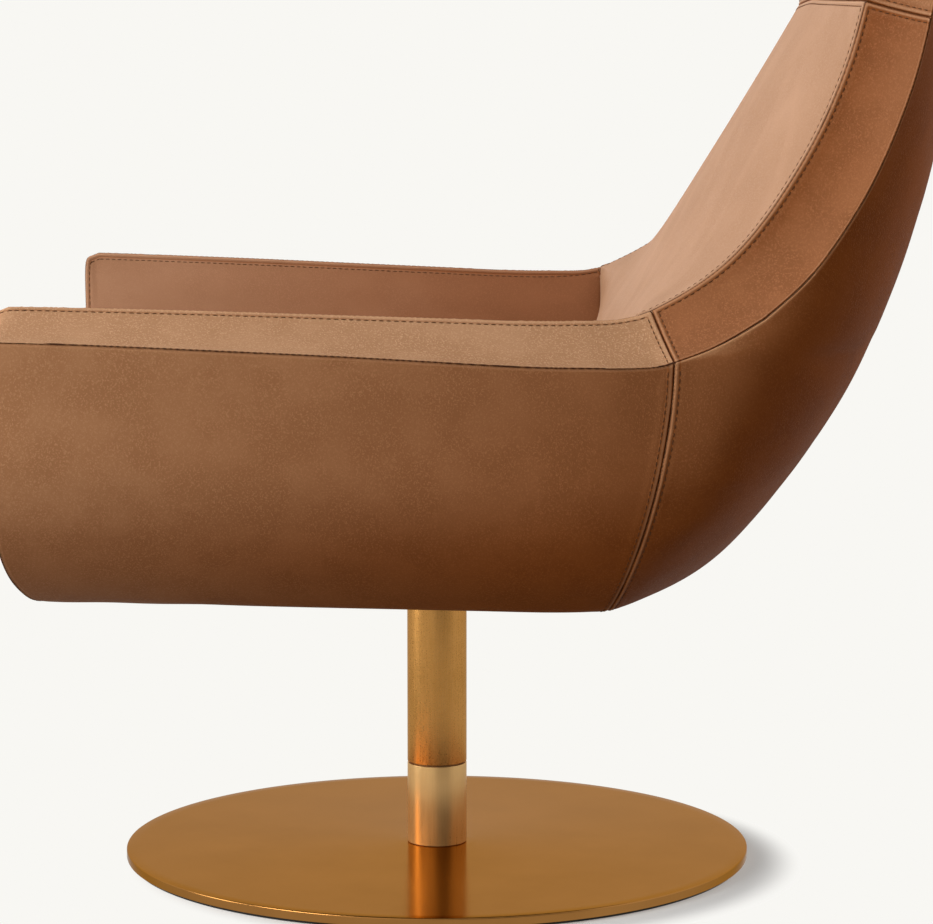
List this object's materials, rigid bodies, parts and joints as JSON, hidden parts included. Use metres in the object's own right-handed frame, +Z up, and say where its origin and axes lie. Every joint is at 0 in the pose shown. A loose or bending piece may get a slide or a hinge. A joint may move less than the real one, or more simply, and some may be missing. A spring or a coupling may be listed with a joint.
{
  "type": "swivel rocker chair",
  "caption": "Leather tub lounge chair with a reclined back that turns and rocks on a round brass column and floor disc",
  "frame": {"origin": "on the floor, on the column's axis, under the centre of the floor disc", "axes": "+Z up along the column, +Y to the rear of the seat at rest, so the sitter faces -Y, and +X to the sitter's left"},
  "size_m": [0.8938, 0.853, 1.0165],
  "materials": {
    "brass_disc": "satin",
    "brass_column": "satin",
    "black_pad": "matte",
    "bright_steel": "satin",
    "black_steel": "satin",
    "bronze": "satin",
    "rubber": "matte",
    "plywood": "matte",
    "webbing": "matte",
    "leather_outer": "satin",
    "leather_band": "satin",
    "leather_inner": "matte",
    "lining": "matte"
  },
  "bodies": {
    "base": {"base_disc": "brass_disc", "floor_pad": "black_pad", "lower_tube": "brass_column", "spindle": "bright_steel", "base_screw_1": "black_steel", "base_screw_2": "black_steel", "base_screw_3": "black_steel", "base_screw_4": "black_steel", "thrust_bearing": "bronze", "spindle_washer": "bright_steel", "retaining_ring": "black_steel"},
    "swivel": {"upper_tube": "brass_column", "lower_bush": "bronze", "upper_bush": "bronze", "rocker_yoke": "black_steel", "pivot_shaft": "bright_steel", "rocker_spring_front": "bright_steel", "rocker_spring_rear": "bright_steel", "stop_front_right": "rubber", "stop_front_left": "rubber", "stop_rear_right": "rubber", "stop_rear_left": "rubber"},
    "seat": {"rocker_plate": "black_steel", "pivot_bush_right": "bronze", "pivot_bush_left": "bronze", "rocker_bolt_1": "black_steel", "rocker_bolt_2": "black_steel", "rocker_bolt_3": "black_steel", "rocker_bolt_4": "black_steel", "cross_rail_front": "plywood", "cross_rail_rear": "plywood", "front_former": "plywood", "rear_former": "plywood", "side_rail_right": "plywood", "side_rail_left": "plywood", "arm_frame_right": "plywood", "arm_frame_left": "plywood", "back_frame": "black_steel", "back_sling": "webbing", "seat_webbing": "webbing", "side_panel_right": "leather_outer", "side_panel_left": "leather_outer", "back_wrap": "leather_outer", "front_panel": "leather_outer", "arm_band_right": "leather_band", "arm_band_left": "leather_band", "back_band_right": "leather_band", "back_band_left": "leather_band", "head_band": "leather_band", "inner_arm_right": "leather_inner", "inner_arm_left": "leather_inner", "inner_back": "leather_inner", "head_panel": "leather_inner", "seat_cushion": "leather_inner", "dust_cover": "lining"}
  },
  "joints": [
    {"name": "swivel", "type": "hinge", "parent": "base", "child": "swivel", "pos_m": [0, 0, 0.2], "axis": [0, 0, 1], "continuous": true},
    {"name": "rock", "type": "hinge", "parent": "swivel", "child": "seat", "pos_m": [0, 0, 0.314], "axis": [-1, 0, 0], "range_deg": [-6, 10], "stiffness_Nm_per_rad": 600, "springref_deg": -0.99, "deforming": ["rocker_spring_front", "rocker_spring_rear"]}
  ]
}
